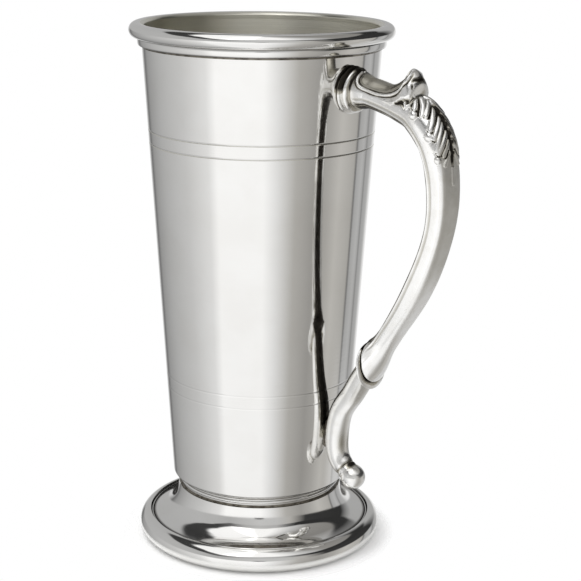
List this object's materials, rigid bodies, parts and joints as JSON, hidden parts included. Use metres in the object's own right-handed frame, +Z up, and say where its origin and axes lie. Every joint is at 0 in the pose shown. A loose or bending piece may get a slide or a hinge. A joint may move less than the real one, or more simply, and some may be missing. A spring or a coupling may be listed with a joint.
{
  "type": "tankard",
  "caption": "Tall tapered pewter tankard with no lid: rolled rim, engraved lines, spun trumpet foot and a cast scroll handle with thumb rest and acanthus leaf, for drinking beer or ale.",
  "frame": {"origin": "middle of the bounding box on the surface the tankard stands on", "axes": "+Z up along the barrel, +X towards the handle, +Y across the handle"},
  "size_m": [0.128, 0.0904, 0.1835],
  "materials": {
    "polished_pewter": "mirror-polished pewter with faint lathe lines, satin inside the barrel",
    "cast_pewter": "hand-polished cast pewter with dark patina left in the hollows of the leaf",
    "pewter_solder": "soft solder, duller than the pewter beside it"
  },
  "bodies": {
    "root": {"barrel": "polished_pewter", "rim_mount": "polished_pewter", "foot_collar": "polished_pewter", "foot_skirt": "polished_pewter", "foot_bead": "polished_pewter", "handle_casting": "cast_pewter", "rim_solder": "pewter_solder", "collar_upper_solder": "pewter_solder", "collar_lower_solder": "pewter_solder", "bead_solder": "pewter_solder", "handle_root_solder": "pewter_solder", "handle_tail_solder": "pewter_solder"}
  },
  "joints": []
}
